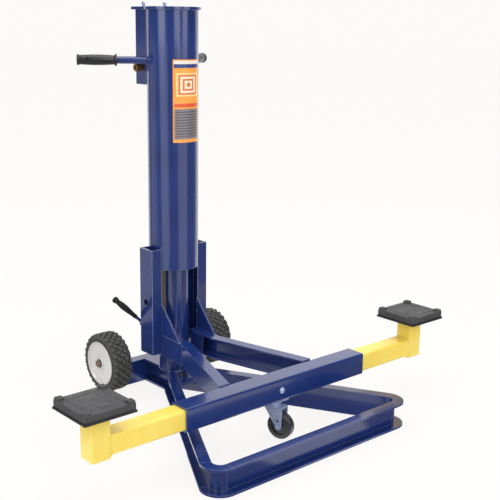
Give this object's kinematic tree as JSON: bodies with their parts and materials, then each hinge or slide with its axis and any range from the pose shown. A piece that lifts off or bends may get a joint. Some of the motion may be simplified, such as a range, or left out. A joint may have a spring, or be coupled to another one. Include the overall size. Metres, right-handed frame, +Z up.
{
  "type": "air-operated vehicle bumper lift",
  "caption": "Wheeled bumper lift: mast tube sliding on a fixed ram, cross beam with telescoping padded arms, V-shaped channel base, swivel caster and a rack lock.",
  "frame": {"origin": "on the floor plane, under the middle of the lift's outline; the base frame's underside is z = 0", "axes": "+X along the cross beam to the lift's right as seen from the pads' side looking at the mast, +Y to the rear (rear wheels), +Z up"},
  "size_m": [1.528, 0.9635, 1.393],
  "materials": {
    "navy_paint": "gloss powder coat",
    "yellow_paint": "gloss powder coat",
    "black_paint": "satin",
    "pad_rubber": "matte moulded rubber",
    "grip_rubber": "satin moulded rubber",
    "tyre_rubber": "matte",
    "white_paint": "gloss",
    "bare_steel": "oiled",
    "seal_rubber": "smooth",
    "brass": "machined",
    "zinc_plate": "blue zinc plate",
    "caster_plastic": "satin",
    "label": "gloss film"
  },
  "bodies": {
    "base": {"front_bar": "navy_paint", "corner_left": "navy_paint", "corner_right": "navy_paint", "leg_left": "navy_paint", "leg_right": "navy_paint", "rear_tube": "navy_paint", "foot_plate": "navy_paint", "axle_ears": "navy_paint", "axle_pins": "bare_steel", "axle_nuts": "bare_steel", "ram_tube": "navy_paint", "foot_bolts": "bare_steel", "rack_bar": "bare_steel", "piston": "bare_steel", "piston_seals": "seal_rubber"},
    "carriage": {"mast_tube": "navy_paint", "cap_plate": "navy_paint", "eye_bolts": "bare_steel", "guide_ring": "bare_steel", "rear_box": "navy_paint", "air_pipe": "brass", "air_fitting": "brass", "handle_left": "navy_paint", "handle_right": "navy_paint", "grip_left": "grip_rubber", "grip_right": "grip_rubber", "label_plate": "label", "channel_left": "navy_paint", "channel_right": "navy_paint", "gussets": "navy_paint", "fork_left": "navy_paint", "fork_right": "navy_paint", "stiffeners": "navy_paint", "beam": "navy_paint", "beam_bolt": "bare_steel", "caster_plate": "zinc_plate"},
    "wheel_left": {"tyre_left": "tyre_rubber", "hub_left": "white_paint", "bearings_left": "bare_steel"},
    "wheel_right": {"tyre_right": "tyre_rubber", "hub_right": "white_paint", "bearings_right": "bare_steel"},
    "arm_left": {"arm_left": "yellow_paint", "seat_left": "black_paint", "pad_left": "pad_rubber", "pad_bolts_left": "bare_steel"},
    "arm_right": {"arm_right": "yellow_paint", "seat_right": "black_paint", "pad_right": "pad_rubber", "pad_bolts_right": "bare_steel"},
    "caster_fork": {"caster_fork": "zinc_plate", "caster_axle": "zinc_plate"},
    "caster_wheel": {"caster_wheel": "caster_plastic"},
    "lock_lever": {"pawl": "bare_steel", "lever_pin": "bare_steel", "lever": "navy_paint", "lever_grip": "grip_rubber"}
  },
  "joints": [
    {"name": "lift", "type": "slide", "parent": "base", "child": "carriage", "axis": [0, 0, 1], "range_m": [0, 0.75]},
    {"name": "wheel_left_spin", "type": "hinge", "parent": "base", "child": "wheel_left", "pos_m": [0, 0.37575, 0.135], "axis": [1, 0, 0], "continuous": true},
    {"name": "wheel_right_spin", "type": "hinge", "parent": "base", "child": "wheel_right", "pos_m": [0, 0.37575, 0.135], "axis": [1, 0, 0], "continuous": true},
    {"name": "arm_left_slide", "type": "slide", "parent": "carriage", "child": "arm_left", "axis": [-1, 0, 0], "range_m": [-0.24, 0.05]},
    {"name": "arm_right_slide", "type": "slide", "parent": "carriage", "child": "arm_right", "axis": [1, 0, 0], "range_m": [-0.24, 0.05]},
    {"name": "caster_swivel", "type": "hinge", "parent": "carriage", "child": "caster_fork", "pos_m": [0, -0.25425, 0.112], "axis": [0, 0, 1], "continuous": true},
    {"name": "caster_spin", "type": "hinge", "parent": "caster_fork", "child": "caster_wheel", "pos_m": [0.00865, -0.28088, 0.04545], "axis": [0.9511, 0.309, 0], "continuous": true},
    {"name": "lever_pivot", "type": "hinge", "parent": "carriage", "child": "lock_lever", "pos_m": [-0.1, 0.33875, 0.262], "axis": [0, 1, 0], "range_deg": [0, 25]}
  ]
}
